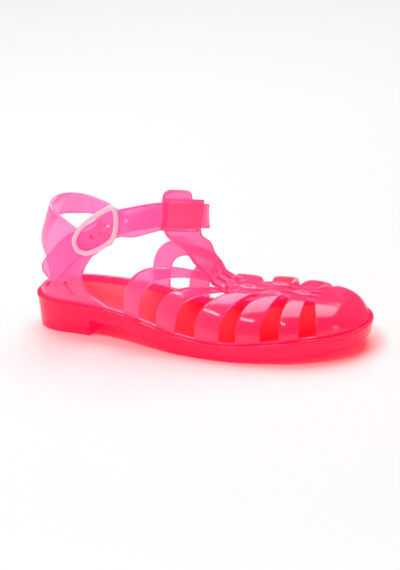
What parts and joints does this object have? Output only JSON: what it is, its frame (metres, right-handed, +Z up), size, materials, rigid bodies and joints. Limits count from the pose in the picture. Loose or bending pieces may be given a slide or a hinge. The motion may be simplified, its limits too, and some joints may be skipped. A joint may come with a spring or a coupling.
{
  "type": "jelly sandal",
  "caption": "Child's jelly sandal for the right foot: woven strip vamp, T-bar and buckled ankle strap, open heel cup, studded sole with a heel block",
  "frame": {"origin": "middle of the bounding box's underside, on the plane the sole stands on", "axes": "+X toward the toe, +Y toward the inner side of the right foot, +Z up"},
  "size_m": [0.172, 0.07, 0.0734],
  "materials": {
    "outsole": "translucent moulded PVC",
    "insole": "finely grained PVC",
    "upper": "translucent moulded PVC",
    "buckle_frame": "satin plastic",
    "buckle_prong": "satin plastic"
  },
  "bodies": {
    "root": {"outsole": "outsole", "insole": "insole", "upper": "upper", "buckle_frame": "buckle_frame", "buckle_prong": "buckle_prong"}
  },
  "joints": []
}
